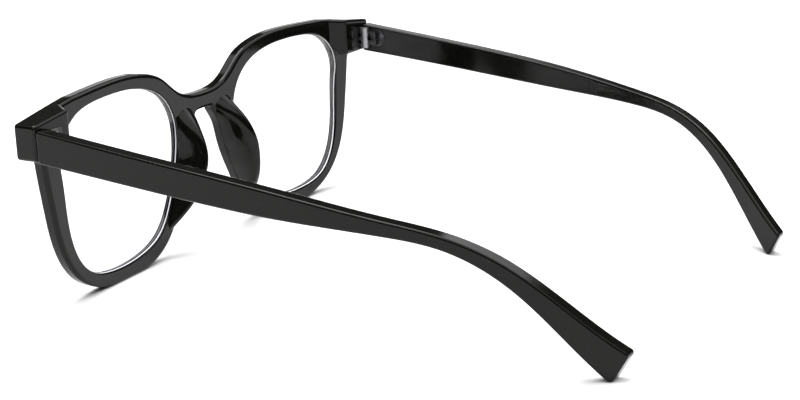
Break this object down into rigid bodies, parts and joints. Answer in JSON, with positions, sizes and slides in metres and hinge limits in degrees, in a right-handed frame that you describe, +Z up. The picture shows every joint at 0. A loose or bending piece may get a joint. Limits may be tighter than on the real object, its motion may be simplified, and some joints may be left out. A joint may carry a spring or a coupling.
{
  "type": "eyeglasses",
  "caption": "Full-rim eyeglasses: black plastic front with saddle nose pads, clear lenses, barrel hinges and folding temples with curved ends.",
  "frame": {"origin": "middle of the opened glasses at table height: the floor under the centre of the bounding box", "axes": "+X towards the wearer's left, +Y backwards from the front to the temple tips, +Z up; the front faces -Y and the rims and temple tips rest on Z = 0"},
  "size_m": [0.14, 0.142, 0.0497],
  "materials": {
    "black_plastic": "polished black",
    "pad_plastic": "polished black, glued on",
    "clear_lens": "clear, coated, with a ground edge",
    "hinge_steel": "dark nickel",
    "screw_steel": "turned",
    "core_steel": "drawn wire"
  },
  "bodies": {
    "front": {"front_frame": "black_plastic", "nose_pad_left": "pad_plastic", "nose_pad_right": "pad_plastic", "lens_left": "clear_lens", "lens_right": "clear_lens", "hinge_front_leaf_left": "hinge_steel", "hinge_front_leaf_right": "hinge_steel", "hinge_screw_left": "screw_steel", "hinge_screw_right": "screw_steel"},
    "temple_left": {"temple_left": "black_plastic", "temple_core_wire_left": "core_steel", "hinge_temple_leaf_left": "hinge_steel"},
    "temple_right": {"temple_right": "black_plastic", "temple_core_wire_right": "core_steel", "hinge_temple_leaf_right": "hinge_steel"}
  },
  "joints": [
    {"name": "temple_left_hinge", "type": "hinge", "parent": "front", "child": "temple_left", "pos_m": [0.0658, -0.05966, 0.0419], "axis": [0, 0, 1], "range_deg": [0, 82]},
    {"name": "temple_right_hinge", "type": "hinge", "parent": "front", "child": "temple_right", "pos_m": [-0.0658, -0.05966, 0.0419], "axis": [0, 0, -1], "range_deg": [0, 73]}
  ]
}
